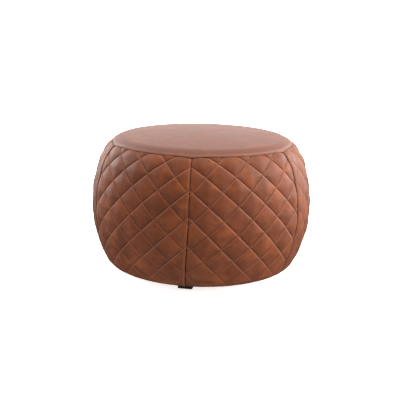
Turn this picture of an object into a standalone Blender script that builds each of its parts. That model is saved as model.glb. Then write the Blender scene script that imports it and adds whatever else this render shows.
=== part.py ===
"""Round upholstered ottoman on a hidden wooden drum, with a quilted barrel-shaped side.

Units are metres, +Z is up, the floor is z = 0 and the front vertical seam is on the -Y side.
The side is a chain of tangent arcs, and every cover, pad and foam layer is that chain moved inwards.
Arc angles are those of the surface's outward direction: 0 points outwards, 90 up, -90 down.
"""
import math

import bmesh
import bpy
from mathutils import Matrix, Vector

# ---- driving dimensions ----
GAP = 0.0003
SEGMENTS = 36
PANELS = 6
FRONT = math.radians(-90.0)

# Outer side: (radius, end angle in degrees) of each arc, counted from the widest ring
WIDEST_RADIUS = 0.300
WIDEST_HEIGHT = 0.185
UPPER_BELLY = (0.365, 18.7)
SHOULDER = (0.134, 46.4)
LOWER_BELLY = (0.314, -28.5)
CORNER = (0.0355, -68.6)
UNDER_SLOPE = (0.170, -82.1)

# Outer top: a rolled rim that leaves the top seam, then one wide dome
RIM = (0.055, 84.0)

# Straight runs along each arc
SHOULDER_STEPS = 3
UPPER_STEPS = 4
LOWER_STEPS = 3
CORNER_STEPS = 3
UNDER_STEPS = 2
RIM_STEPS = 3
DOME_STEPS = 4
SEAT_SPLIT_STEP = 2

# Layers of the cover, measured inwards from the outer surface
COVER_THICKNESS = 0.0018
PAD_THICKNESS = 0.006
HEM_RADIUS = 0.186

# Wooden drum
FRAME_RADIUS = 0.203
WALL_THICKNESS = 0.003
BASE_THICKNESS = 0.015
SEAT_THICKNESS = 0.012
POST_SIDE = 0.038
POST_RADIUS = 0.178
POST_BEVEL = 0.002

# Dust cover and glides
DUST_RADIUS = 0.197
DUST_THICKNESS = 0.001
DUST_DROP = 0.0003
GLIDES = 4
GLIDE_CIRCLE = 0.192
GLIDE_TURN = math.radians(-4.5)
GLIDE_SIDE = 0.038
GLIDE_BEVEL = 0.0012
GLIDE_RECESS_RADIUS = 0.0062
GLIDE_RECESS_DEPTH = 0.0036
GLIDE_BORE = 0.0024
GLIDE_STEPS = 24

# Screws: (length, head radius, shank radius)
POST_SCREW = (0.050, 0.0042, 0.0022)
GLIDE_SCREW = (0.022, 0.0040, 0.0019)
SCREW_HEAD_DEPTH = 0.0024
SCREW_TIP = 0.005
SCREW_STEPS = 8
GLIDE_SCREW_HEIGHT = 0.0012
CUTTER_OVERSHOOT = 0.002

LEATHER = ((0.300, 0.108, 0.052, 1.0), 0.42, 0.0)
PAD_FOAM = ((0.780, 0.760, 0.680, 1.0), 0.95, 0.0)
SIDE_FOAM = ((0.830, 0.740, 0.500, 1.0), 0.95, 0.0)
SEAT_FOAM = ((0.860, 0.800, 0.620, 1.0), 0.95, 0.0)
WADDING = ((0.900, 0.900, 0.880, 1.0), 0.98, 0.0)
PLYWOOD = ((0.560, 0.400, 0.240, 1.0), 0.60, 0.0)
SOFTWOOD = ((0.640, 0.470, 0.280, 1.0), 0.65, 0.0)
HARDBOARD = ((0.270, 0.160, 0.090, 1.0), 0.70, 0.0)
DUST_CLOTH = ((0.020, 0.020, 0.022, 1.0), 0.95, 0.0)
GLIDE_PLASTIC = ((0.012, 0.012, 0.013, 1.0), 0.45, 0.0)
SCREW_STEEL = ((0.520, 0.520, 0.540, 1.0), 0.35, 1.0)


# ---- the outline ----
def on_arc(centre, radius, degrees):
    """The point of a circle in the (radius, height) plane at an angle."""
    angle = math.radians(degrees)
    return (centre[0] + radius * math.cos(angle), centre[1] + radius * math.sin(angle))


def next_centre(centre, radius, degrees, next_radius):
    """The centre of the arc that carries on from another one with no corner."""
    return on_arc(centre, radius - next_radius, degrees)


def arc(centre, radius, start, end, steps):
    """Points along an arc, both ends included."""
    turns = [start + (end - start) * i / steps for i in range(steps + 1)]
    return [on_arc(centre, radius, turn) for turn in turns]


def arc_centres():
    """The centre of every arc of the outer side and top."""
    upper = (WIDEST_RADIUS - UPPER_BELLY[0], WIDEST_HEIGHT)
    lower = (WIDEST_RADIUS - LOWER_BELLY[0], WIDEST_HEIGHT)
    shoulder = next_centre(upper, *UPPER_BELLY, SHOULDER[0])
    corner = next_centre(lower, *LOWER_BELLY, CORNER[0])
    under = next_centre(corner, *CORNER, UNDER_SLOPE[0])
    rim = next_centre(shoulder, *SHOULDER, RIM[0])
    return {"upper": upper, "lower": lower, "shoulder": shoulder, "corner": corner, "under": under, "rim": rim}


CENTRES = arc_centres()
DOME_RADIUS = on_arc(CENTRES["rim"], *RIM)[0] / math.cos(math.radians(RIM[1]))
DOME_CENTRE = (0.0, on_arc(CENTRES["rim"], *RIM)[1] - DOME_RADIUS * math.sin(math.radians(RIM[1])))
UNDERSIDE = on_arc(CENTRES["under"], *UNDER_SLOPE)[1]
SPLIT_ANGLE = SHOULDER[1] + (UPPER_BELLY[1] - SHOULDER[1]) * SEAT_SPLIT_STEP / SHOULDER_STEPS


def side_points(depth, start=SHOULDER[1], steps=SHOULDER_STEPS):
    """The side at a depth below its outer surface, from an angle on the shoulder down to the base board."""
    points = arc(CENTRES["shoulder"], SHOULDER[0] - depth, start, UPPER_BELLY[1], steps)
    points += arc(CENTRES["upper"], UPPER_BELLY[0] - depth, UPPER_BELLY[1], 0.0, UPPER_STEPS)[1:]
    points += arc(CENTRES["lower"], LOWER_BELLY[0] - depth, 0.0, LOWER_BELLY[1], LOWER_STEPS)[1:]
    points += arc(CENTRES["corner"], CORNER[0] - depth, LOWER_BELLY[1], CORNER[1], CORNER_STEPS)[1:]
    points += arc(CENTRES["under"], UNDER_SLOPE[0] - depth, CORNER[1], UNDER_SLOPE[1], UNDER_STEPS)[1:]
    return points


def top_points(depth, seam_gap):
    """The top at a depth below its outer surface, from the seam to the middle."""
    start = SHOULDER[1] + math.degrees(seam_gap / (RIM[0] - depth))
    points = arc(CENTRES["rim"], RIM[0] - depth, start, RIM[1], RIM_STEPS)
    points += arc(DOME_CENTRE, DOME_RADIUS - depth, RIM[1], 90.0, DOME_STEPS)[1:-1]
    return points + [(0.0, DOME_CENTRE[1] + DOME_RADIUS - depth)]


PAD_DEPTH = COVER_THICKNESS + GAP
FOAM_DEPTH = PAD_DEPTH + PAD_THICKNESS + GAP
SPLIT_POINT = on_arc(CENTRES["shoulder"], SHOULDER[0] - FOAM_DEPTH, SPLIT_ANGLE)
SEAT_LEVEL = SPLIT_POINT[1]
BASE_BOTTOM = UNDERSIDE + COVER_THICKNESS + GAP
BASE_TOP = BASE_BOTTOM + BASE_THICKNESS
SEAT_BOTTOM = SEAT_LEVEL - SEAT_THICKNESS
DUST_TOP = UNDERSIDE - DUST_DROP
GLIDE_TOP = DUST_TOP - DUST_THICKNESS - GAP


# ---- solids ----
def clear_scene():
    for item in list(bpy.data.objects):
        bpy.data.objects.remove(item, do_unlink=True)


def material(name, look):
    colour, roughness, metallic = look
    made = bpy.data.materials.new(name)
    made.use_nodes = True
    shader = made.node_tree.nodes["Principled BSDF"]
    shader.inputs["Base Color"].default_value = colour
    shader.inputs["Roughness"].default_value = roughness
    shader.inputs["Metallic"].default_value = metallic
    made.diffuse_color = colour
    return made


def finished(name, body, look):
    """One named object with its own material, from a bmesh that is then freed."""
    bmesh.ops.recalc_face_normals(body, faces=body.faces)
    mesh = bpy.data.meshes.new(name)
    body.to_mesh(mesh)
    body.free()
    mesh.shade_smooth()
    mesh.set_sharp_from_angle(angle=math.radians(35.0))
    mesh.materials.append(material(name, look))
    item = bpy.data.objects.new(name, mesh)
    bpy.context.scene.collection.objects.link(item)
    return item


def lathe(outline, start=FRONT, sweep=math.tau, steps=SEGMENTS):
    """A solid turned about the Z axis from (radius, height) points; an outline may start and end on the axis."""
    body = bmesh.new()
    verts = [body.verts.new((r * math.cos(start), r * math.sin(start), z)) for r, z in outline]
    edges = [body.edges.new(pair) for pair in zip(verts, verts[1:])]
    on_axis = outline[0][0] == 0.0
    if not on_axis:
        edges.append(body.edges.new((verts[-1], verts[0])))
    full = sweep == math.tau
    bmesh.ops.spin(
        body, geom=verts + edges, cent=(0, 0, 0), axis=(0, 0, 1), angle=sweep, steps=steps, use_merge=full
    )
    if on_axis:
        bmesh.ops.remove_doubles(body, verts=body.verts, dist=1e-6)
    if not full:
        rims = [edge for edge in body.edges if edge.is_boundary]
        bmesh.ops.holes_fill(body, edges=rims, sides=0)
    return body


def turned(name, outline, look, place=None, **how):
    body = lathe(outline, **how)
    if place:
        bmesh.ops.transform(body, matrix=place, verts=body.verts)
    return finished(name, body, look)


def disc(name, radius, bottom, top, look):
    return turned(name, [(0.0, bottom), (radius, bottom), (radius, top), (0.0, top)], look)


def around(count, index):
    """The angle of one of a number of equal places, the first at the front."""
    return FRONT + math.tau * index / count


def polar(radius, angle, height):
    return Vector((radius * math.cos(angle), radius * math.sin(angle), height))


def cut(target, cutter):
    """Subtract a hidden cutter from a solid."""
    tool = target.modifiers.new("holes", "BOOLEAN")
    tool.operation = "DIFFERENCE"
    tool.solver = "EXACT"
    tool.object = cutter


# ---- screws and the holes that they need ----
def screw_outline(size, grow=0.0, overshoot=0.0):
    """A countersunk screw that hangs down from its head, grown all round to make its hole."""
    length, head_radius, shank_radius = size
    head = head_radius + grow
    shank = shank_radius + grow
    point = -length - grow
    cone_bottom = -SCREW_HEAD_DEPTH
    rows = [(0.0, overshoot), (head, overshoot)]
    if overshoot:
        rows.append((head, -grow))
    rows += [(shank, cone_bottom - grow), (shank, point + SCREW_TIP), (0.0, point)]
    return rows


def screw_place(radius, angle, height, upwards):
    """Put a screw's head face at a height, pointing down, or up when it is driven from below."""
    flip = Matrix.Rotation(math.pi, 4, "X") if upwards else Matrix.Identity(4)
    return Matrix.Translation(polar(radius, angle, height)) @ flip


def screws(name, size, places):
    for number, place in enumerate(places, 1):
        turned(f"{name}_{number}", screw_outline(size), SCREW_STEEL, place, steps=SCREW_STEPS)


def hole_cutter(name, outline, places, steps=SCREW_STEPS):
    """One hidden object that holds the same turned hole at every one of a list of places."""
    joined = bmesh.new()
    for place in places:
        hole = lathe(outline, steps=steps)
        bmesh.ops.transform(hole, matrix=place, verts=hole.verts)
        scratch = bpy.data.meshes.new(name)
        hole.to_mesh(scratch)
        hole.free()
        joined.from_mesh(scratch)
        bpy.data.meshes.remove(scratch)
    cutter = finished(name, joined, SCREW_STEEL)
    cutter.hide_render = True
    cutter.display_type = "WIRE"
    return cutter


# ---- the wooden drum ----
def post(number, angle, lower_holes, upper_holes):
    bottom = BASE_TOP + GAP
    height = SEAT_BOTTOM - GAP - bottom
    body = bmesh.new()
    bmesh.ops.create_cube(body, size=1.0)
    size = Matrix.Diagonal((POST_SIDE, POST_SIDE, height, 1.0))
    place = Matrix.Translation(polar(POST_RADIUS, angle, bottom + height / 2)) @ Matrix.Rotation(angle, 4, "Z")
    bmesh.ops.transform(body, matrix=place @ size, verts=body.verts)
    item = finished(f"post_{number}", body, SOFTWOOD)
    bevel = item.modifiers.new("eased_edges", "BEVEL")
    bevel.width = POST_BEVEL
    bevel.segments = 1
    cut(item, lower_holes)
    cut(item, upper_holes)


def drum():
    angles = [around(PANELS, i) for i in range(PANELS)]
    lower = [screw_place(POST_RADIUS, angle, BASE_BOTTOM, True) for angle in angles]
    upper = [screw_place(POST_RADIUS, angle, SEAT_LEVEL, False) for angle in angles]
    lower_holes = hole_cutter("lower_post_holes", screw_outline(POST_SCREW, GAP, CUTTER_OVERSHOOT), lower)
    upper_holes = hole_cutter("upper_post_holes", screw_outline(POST_SCREW, GAP, CUTTER_OVERSHOOT), upper)
    base = disc("base_board", FRAME_RADIUS, BASE_BOTTOM, BASE_TOP, PLYWOOD)
    cut(base, lower_holes)
    seat = disc("seat_board", FRAME_RADIUS, SEAT_BOTTOM, SEAT_LEVEL, PLYWOOD)
    cut(seat, upper_holes)
    for number, angle in enumerate(angles, 1):
        post(number, angle, lower_holes, upper_holes)
    wall_in = FRAME_RADIUS - WALL_THICKNESS
    wall_low = BASE_TOP + GAP
    wall_high = SEAT_BOTTOM - GAP
    wall = [(wall_in, wall_low), (FRAME_RADIUS, wall_low), (FRAME_RADIUS, wall_high), (wall_in, wall_high)]
    turned("drum_wall", wall, HARDBOARD)
    screws("post_screw_lower", POST_SCREW, lower)
    screws("post_screw_upper", POST_SCREW, upper)
    return base


# ---- foam, wadding and the quilted cover ----
def side_foam():
    """The barrel ring around the drum, level with the seat board at its top."""
    outer = side_points(FOAM_DEPTH, SPLIT_ANGLE, SHOULDER_STEPS - SEAT_SPLIT_STEP)
    inner = FRAME_RADIUS + GAP
    turned("side_foam", outer + [(inner, outer[-1][1]), (inner, SEAT_LEVEL)], SIDE_FOAM)


def seat_foam():
    """The thick disc over the seat board and the side foam, with the shape of the top."""
    edge = arc(CENTRES["shoulder"], SHOULDER[0] - FOAM_DEPTH, SPLIT_ANGLE, SHOULDER[1], SEAT_SPLIT_STEP)
    edge[0] = (SPLIT_POINT[0] - GAP, SEAT_LEVEL + GAP)
    turned("seat_foam", [(0.0, SEAT_LEVEL + GAP)] + edge + top_points(FOAM_DEPTH, 0.0)[1:], SEAT_FOAM)


def panel_sector(name, outline, number, look):
    """A sixth of a turned shell, from one vertical seam to the next."""
    half_gap = GAP / 2 / HEM_RADIUS
    start = around(PANELS, number - 1) + half_gap
    sweep = math.tau / PANELS - 2 * half_gap
    return turned(name, outline, look, start=start, sweep=sweep, steps=SEGMENTS // PANELS)


def quilt_pad(number):
    outer = side_points(PAD_DEPTH)
    inner = side_points(PAD_DEPTH + PAD_THICKNESS)
    panel_sector(f"quilt_pad_{number}", outer + inner[::-1], number, PAD_FOAM)


def side_panel(number, glide_holes):
    """One leather panel from the top seam down to the hem that is stapled under the base board."""
    outer = side_points(0.0) + [(HEM_RADIUS, UNDERSIDE)]
    inner = side_points(COVER_THICKNESS)
    hem_top = UNDERSIDE + COVER_THICKNESS
    inner[-1] = (inner[-1][0], hem_top)
    panel = panel_sector(f"side_panel_{number}", outer + [(HEM_RADIUS, hem_top)] + inner[::-1], number, LEATHER)
    cut(panel, glide_holes)


def cover(glide_holes):
    for number in range(1, PANELS + 1):
        quilt_pad(number)
        side_panel(number, glide_holes)
    top = top_points(0.0, GAP)
    below = top_points(COVER_THICKNESS, GAP)
    turned("top_panel", top[::-1] + below, LEATHER)
    wadding_top = top_points(PAD_DEPTH, GAP)
    wadding_below = top_points(PAD_DEPTH + PAD_THICKNESS, GAP)
    turned("seat_wadding", wadding_top[::-1] + wadding_below, WADDING)


# ---- underside ----
def glide_bore():
    """The stepped hole up through a glide: a well for the screw's head, then a clearance hole."""
    below = -CUTTER_OVERSHOOT
    above = GLIDE_TOP + CUTTER_OVERSHOOT
    well = [(0.0, below), (GLIDE_RECESS_RADIUS, below), (GLIDE_RECESS_RADIUS, GLIDE_RECESS_DEPTH)]
    return well + [(GLIDE_BORE, GLIDE_RECESS_DEPTH), (GLIDE_BORE, above), (0.0, above)]


def glide(number, angle, bores):
    """A low square block with eased edges, square to the drum's radius."""
    body = bmesh.new()
    bmesh.ops.create_cube(body, size=1.0)
    size = Matrix.Diagonal((GLIDE_SIDE, GLIDE_SIDE, GLIDE_TOP, 1.0))
    place = Matrix.Translation(polar(GLIDE_CIRCLE, angle, GLIDE_TOP / 2)) @ Matrix.Rotation(angle, 4, "Z")
    bmesh.ops.transform(body, matrix=place @ size, verts=body.verts)
    item = finished(f"glide_{number}", body, GLIDE_PLASTIC)
    bevel = item.modifiers.new("eased_edges", "BEVEL")
    bevel.width = GLIDE_BEVEL
    bevel.segments = 1
    cut(item, bores)


def glides(base):
    """The four glides, their screws, and the holes that the screws make in what they pass through."""
    angles = [around(GLIDES, i) + GLIDE_TURN for i in range(GLIDES)]
    places = [screw_place(GLIDE_CIRCLE, angle, GLIDE_SCREW_HEIGHT, True) for angle in angles]
    centres = [Matrix.Translation(polar(GLIDE_CIRCLE, angle, 0.0)) for angle in angles]
    bores = hole_cutter("glide_bores", glide_bore(), centres, GLIDE_STEPS)
    for number, angle in enumerate(angles, 1):
        glide(number, angle, bores)
    screws("glide_screw", GLIDE_SCREW, places)
    holes = hole_cutter("glide_screw_holes", screw_outline(GLIDE_SCREW, GAP, CUTTER_OVERSHOOT), places)
    cut(base, holes)
    dust = disc("dust_cover", DUST_RADIUS, DUST_TOP - DUST_THICKNESS, DUST_TOP, DUST_CLOTH)
    cut(dust, holes)
    return holes


clear_scene()
base_board = drum()
glide_screw_holes = glides(base_board)
side_foam()
seat_foam()
cover(glide_screw_holes)
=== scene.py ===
"""Looks for the round quilted leather ottoman: the sewn cover, its padding, the wooden drum and the studio.

Everything is made around the CAD frame, in metres, with +Z up and the front seam on the -Y side.
The side cover is drawn on a flat pattern, v down from the top seam and u across from a panel's middle,
and wrapped on the CAD's outline. A height is how far a point stands out from that outline.
The CAD's six side panels are equal. Here they take unequal shares of the turn, and the hem is pulled round.
"""
import math

import bmesh
import bpy
import numpy as np
from mathutils import Matrix, Vector, geometry


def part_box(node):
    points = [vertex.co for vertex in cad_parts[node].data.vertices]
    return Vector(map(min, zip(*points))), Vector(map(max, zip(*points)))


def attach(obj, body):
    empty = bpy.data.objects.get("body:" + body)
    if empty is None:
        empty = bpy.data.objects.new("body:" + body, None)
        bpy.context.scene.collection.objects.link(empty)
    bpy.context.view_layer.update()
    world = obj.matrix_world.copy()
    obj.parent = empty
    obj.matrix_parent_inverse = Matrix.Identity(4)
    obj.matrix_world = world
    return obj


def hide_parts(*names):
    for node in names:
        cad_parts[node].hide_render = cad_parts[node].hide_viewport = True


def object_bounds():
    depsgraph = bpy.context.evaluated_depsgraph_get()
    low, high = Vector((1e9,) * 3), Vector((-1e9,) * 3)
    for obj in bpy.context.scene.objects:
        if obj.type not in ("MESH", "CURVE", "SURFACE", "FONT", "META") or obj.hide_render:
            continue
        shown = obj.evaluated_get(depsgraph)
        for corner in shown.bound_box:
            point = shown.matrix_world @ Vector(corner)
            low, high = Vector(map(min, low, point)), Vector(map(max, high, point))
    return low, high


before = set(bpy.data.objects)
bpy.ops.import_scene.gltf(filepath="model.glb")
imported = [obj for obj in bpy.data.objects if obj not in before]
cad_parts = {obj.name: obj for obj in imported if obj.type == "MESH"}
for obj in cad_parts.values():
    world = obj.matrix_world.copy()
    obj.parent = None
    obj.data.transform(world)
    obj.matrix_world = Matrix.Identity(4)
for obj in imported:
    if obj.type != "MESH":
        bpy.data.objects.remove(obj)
CAD_LOW, CAD_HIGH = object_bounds()
MM = 0.001

# ---- the outline: the CAD's chain of tangent arcs, from the top seam down to the hem ----
WIDEST_RADIUS = CAD_HIGH.x
WIDEST_HEIGHT = 0.185
UPPER_BELLY = (0.365, 18.7)
SHOULDER = (0.134, 46.4)
LOWER_BELLY = (0.314, -28.5)
CORNER = (0.0355, -68.6)
UNDER_SLOPE = (0.170, -82.1)
RIM = (0.055, 84.0)
HEM_RADIUS = 0.186
PANELS = 6
FRONT = math.radians(-90.0)
PANEL_ANGLE = math.tau / PANELS

# ---- quilting ----
QUILT_PITCH = 72.6 * MM
QUILT_START = 18.0 * MM
FIRST_CELL = -6
LAST_CELL = 12
QUILT_SIDE = QUILT_PITCH / math.sqrt(2.0)
PUFF = 4.3 * MM
PILLOW_POWER = 0.72
LINE_DEPTH = 0.7 * MM
LINE_WIDTH = 1.1 * MM
SEWN_TO = (0.345, 0.380)
SLACK_TO = (0.250, 0.360)
SMOOTH_SIDES = {1: 1, 4: -1}
SMOOTH_WIDTH = (0.02, 0.11)
STITCHES_PER_CELL = 11
THREAD_RADIUS = 0.42 * MM
CLOTH_CELLS = 10
CLOTH_FRAMES = 20
SMOOTHING = 2
SHEET_HALF_WIDTH = 0.19
SHEET_TOP = -0.03
SHEET_SPACING = 0.6
FULLNESS_RANGE = (0.35, 1.6)

# ---- leather and seams ----
LEATHER_THICKNESS = 1.2 * MM
SEAM_DIP = 4.0 * MM
SEAM_ROUNDING = 7.0 * MM
LAPPED_ROUNDING = 3.2 * MM
SEAM_DEPTH = 2.6 * MM
TOP_SEAM_DEPTH = 1.4 * MM
SEAM_GAP = 0.3 * MM
ALLOWANCE = 3.6 * MM
EDGE_ROWS = np.array([0.0, 0.35, 1.0, 2.0, 3.4, 5.2]) * MM

# ---- how the cover sits on its drum: the panels are cut unequal, the hem is pulled round ----
PANEL_SPANS = np.radians([63.0, 57.0, 60.0, 60.0, 57.5, 62.5])
SEAM_ANGLES = FRONT + np.concatenate([[0.0], np.cumsum(PANEL_SPANS)[:-1]])
HEM_TWIST = math.radians(-2.2)
TWIST_HEIGHTS = (0.0, 0.22)

# ---- layers under the leather ----
PAD_BACK = 8.1 * MM
FOAM_DEPTH = 8.4 * MM
PAD_INSET = 6.5 * MM

CAMERA_DISTANCE = 2.395
CAMERA_ELEVATION = 13.7
CAMERA_AZIMUTH = 5.85
CAMERA_ROLL = 1.2
CAMERA_LENS = 77.6
CAMERA_AIM = (-0.0033, 0.1878)

# ---- underside ----
STAPLES = 40
GLIDE_TURN = math.radians(-4.5)
GLIDE_HALF = 19.0 * MM
GLIDE_CORNER = 1.5 * MM
STAPLE_CLEARANCE = 26.0 * MM

# ---- floor and lights: name, place, size and power ----
HORIZON_LIGHT = 1.02
SKY_LIGHT = 0.3
GROUND_LIGHT = 2.6
FLOOR_GLOW = 0.8
LIGHTS = (
    ("backdrop", (0.0, 3.2, 1.3), (5.0, 2.6), 140.0),
    ("overhead", (0.0, 0.2, 2.6), (2.6, 2.6), 115.0),
    ("right_box", (2.6, -0.5, 1.7), (1.6, 2.0), 240.0),
    ("left_box", (-2.6, -0.4, 1.7), (1.4, 1.8), 80.0),
    ("back_right", (2.9, 2.0, 1.2), (1.6, 2.2), 190.0),
    ("back_left", (-2.9, 2.0, 1.2), (1.6, 2.2), 160.0),
)
FLOOR_REACH = 600.0


# ---- numbers over arrays ----
def smooth(low, high, value):
    """0 below low, 1 above high, and a smooth rise between them."""
    t = np.clip((value - low) / (high - low), 0.0, 1.0)
    return t * t * (3.0 - 2.0 * t)


def bell(value, width):
    return np.exp(-((value / width) ** 2))


def hashed(cells, seed):
    """A repeatable random number from 0 to 1 for each whole-number cell."""
    mixed = np.full(cells.shape[:-1], seed * 374761393 + 668265263, np.uint64)
    for axis in range(cells.shape[-1]):
        mixed ^= cells[..., axis].astype(np.int64).astype(np.uint64)
        mixed *= np.uint64(0x9E3779B97F4A7C15)
        mixed ^= mixed >> np.uint64(29)
    return (mixed >> np.uint64(11)).astype(float) / float(1 << 53)


def value_noise(points, size, seed):
    """Smooth noise from -1 to 1 over points of any number of axes, with lumps of the given size."""
    scaled = np.asarray(points, float) / size
    base = np.floor(scaled)
    part = scaled - base
    part = part * part * (3.0 - 2.0 * part)
    axes = scaled.shape[-1]
    total = np.zeros(scaled.shape[:-1])
    for corner in np.ndindex(*(2,) * axes):
        weight = np.prod(np.where(np.array(corner), part, 1.0 - part), axis=-1)
        total += weight * hashed(base + np.array(corner), seed)
    return total * 2.0 - 1.0


def layered_noise(points, size, seed, layers=3):
    return sum(value_noise(points, size / 2**layer, seed + layer) / 2**layer for layer in range(layers))


def columns(*values):
    return np.stack(np.broadcast_arrays(*values), -1)


# ---- the outline as a line of known length ----
class Meridian:
    """The line from the middle of the top, over the seam (0), down the side to the hem, by arc length."""

    def __init__(self):
        upper = (WIDEST_RADIUS - UPPER_BELLY[0], WIDEST_HEIGHT)
        lower = (WIDEST_RADIUS - LOWER_BELLY[0], WIDEST_HEIGHT)
        shoulder = self.after(upper, UPPER_BELLY, SHOULDER[0])
        corner = self.after(lower, LOWER_BELLY, CORNER[0])
        under = self.after(corner, CORNER, UNDER_SLOPE[0])
        rim = self.after(shoulder, SHOULDER, RIM[0])
        rim_end = self.on_arc(rim, *RIM)
        dome_radius = rim_end[0] / math.cos(math.radians(RIM[1]))
        dome = (0.0, rim_end[1] - dome_radius * math.sin(math.radians(RIM[1])))
        self.arcs = [
            (dome, dome_radius, 90.0, RIM[1]),
            (rim, RIM[0], RIM[1], SHOULDER[1]),
            (shoulder, SHOULDER[0], SHOULDER[1], UPPER_BELLY[1]),
            (upper, UPPER_BELLY[0], UPPER_BELLY[1], 0.0),
            (lower, LOWER_BELLY[0], 0.0, LOWER_BELLY[1]),
            (corner, CORNER[0], LOWER_BELLY[1], CORNER[1]),
            (under, UNDER_SLOPE[0], CORNER[1], UNDER_SLOPE[1]),
        ]
        lengths = [radius * math.radians(start - end) for _, radius, start, end in self.arcs]
        self.seam = lengths[0] + lengths[1]
        self.starts = np.concatenate([[0.0], np.cumsum(lengths)]) - self.seam
        self.hem_start = self.starts[-1]
        self.end = self.hem_start + self.at(self.hem_start)[0][0] - HEM_RADIUS

    @staticmethod
    def on_arc(centre, radius, degrees):
        angle = math.radians(degrees)
        return (centre[0] + radius * math.cos(angle), centre[1] + radius * math.sin(angle))

    def after(self, centre, arc, next_radius):
        return self.on_arc(centre, arc[0] - next_radius, arc[1])

    def at(self, s):
        """Points (radius, height) and outward directions at arc lengths s."""
        s = np.asarray(s, float)
        point = np.zeros(s.shape + (2,))
        out = np.zeros(s.shape + (2,))
        for index, (centre, radius, start, _) in enumerate(self.arcs):
            inside = s >= self.starts[index] if index else np.ones(s.shape, bool)
            angle = np.radians(start) - (s - self.starts[index]) / radius
            direction = columns(np.cos(angle), np.sin(angle))
            point = np.where(inside[..., None], np.array(centre) + radius * direction, point)
            out = np.where(inside[..., None], direction, out)
        past = s > self.hem_start
        last = self.on_arc(self.arcs[-1][0], self.arcs[-1][1], self.arcs[-1][3])
        flat = columns(last[0] - (s - self.hem_start), last[1])
        point = np.where(past[..., None], flat, point)
        out = np.where(past[..., None], np.array([0.0, -1.0]), out)
        return point, out

    def layer(self, depth, start, end, count=60):
        """(radius, height) points at a depth under the outline, from one arc length to another."""
        point, out = self.at(np.linspace(start, end, count))
        return [tuple(p) for p in point - out * depth]

    def length_at_height(self, depth, level):
        """The arc length on the shoulder where the layer at a depth passes a height."""
        s = np.linspace(0.0, self.starts[3], 400)
        point, out = self.at(s)
        return float(np.interp(-level, -(point - out * depth)[:, 1], s))


LINE = Meridian()


def placed(s, angle, height):
    """World points of the cover at arc length s and angle, raised by height along the outward direction."""
    point, out = LINE.at(s)
    flat = point + out * np.asarray(height)[..., None]
    radius, z = flat[..., 0], flat[..., 1]
    turned = angle + HEM_TWIST * (1.0 - smooth(*TWIST_HEIGHTS, z))
    return columns(radius * np.cos(turned), radius * np.sin(turned), z)


# ---- meshes ----
def new_piece(name, verts, faces, look, replaced=(), outwards=True):
    """A piece of the object: it rides on the one body and takes the material it is given."""
    mesh = bpy.data.meshes.new(name)
    mesh.from_pydata([tuple(v) for v in verts], [], [tuple(f) for f in faces])
    mesh.validate()
    if outwards:
        body = bmesh.new()
        body.from_mesh(mesh)
        bmesh.ops.recalc_face_normals(body, faces=body.faces)
        body.to_mesh(mesh)
        body.free()
    mesh.shade_smooth()
    mesh.materials.append(look)
    item = bpy.data.objects.new(name, mesh)
    bpy.context.scene.collection.objects.link(item)
    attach(item, "root")
    if replaced:
        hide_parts(*replaced)
    return item


def store(item, name, values):
    """A number for each point, for the materials to read."""
    layer = item.data.attributes.new(name, "FLOAT", "POINT")
    layer.data.foreach_set("value", np.asarray(values, np.float32))


def thicken(item, thickness):
    made = item.modifiers.new("thickness", "SOLIDIFY")
    made.thickness = thickness
    made.offset = -1.0


def lathe(name, outline, look, replaced=(), segments=96, sharp=32.0):
    """A closed turned piece from (radius, height) points; points on the axis close it to a disc."""
    rings = [index for index, (radius, _) in enumerate(outline) if radius > 1e-9]
    turn = np.linspace(0.0, math.tau, segments, endpoint=False)
    verts = []
    index = {}
    for number, (radius, height) in enumerate(outline):
        index[number] = len(verts)
        if number in rings:
            verts += [(radius * math.cos(t), radius * math.sin(t), height) for t in turn]
        else:
            verts.append((0.0, 0.0, height))
    closed = len(rings) == len(outline)
    pairs = list(zip(range(len(outline)), range(1, len(outline))))
    if closed:
        pairs.append((len(outline) - 1, 0))
    faces = []
    for first, second in pairs:
        for t in range(segments):
            u = (t + 1) % segments
            here = [index[first] + t, index[first] + u] if first in rings else [index[first]]
            there = [index[second] + u, index[second] + t] if second in rings else [index[second]]
            if len(here) + len(there) > 2:
                faces.append(here + there)
    item = new_piece(name, verts, faces, look, replaced)
    item.data.set_sharp_from_angle(angle=math.radians(sharp))
    return item


def disc_faces(count, around):
    """Faces of a disc: rings of points from the edge inwards, closed by a last point in the middle."""
    index = np.arange(count - 1).reshape(-1, around)
    following = np.roll(index, -1, axis=1)
    faces = np.stack([index[:-1], following[:-1], following[1:], index[1:]], -1).reshape(-1, 4).tolist()
    return faces + [(int(p), int(q), count - 1) for p, q in zip(index[-1], following[-1])]


def closed_between(outer, inner, faces):
    """Vertices and faces of the solid between two copies of one open sheet."""
    count = len(outer)
    edges = {}
    for face in faces:
        for pair in zip(face, face[1:] + face[:1]):
            edges[pair] = True
    rim = [pair for pair in edges if (pair[1], pair[0]) not in edges]
    back = [tuple(count + p for p in reversed(face)) for face in faces]
    sides = [(q, p, count + p, count + q) for p, q in rim]
    return np.vstack([outer, inner]), list(faces) + back + sides


# ---- material nodes ----
SOCKETS = {"metallic": "Metallic", "specular": "Specular IOR Level", "sheen": "Sheen Weight"}


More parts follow.
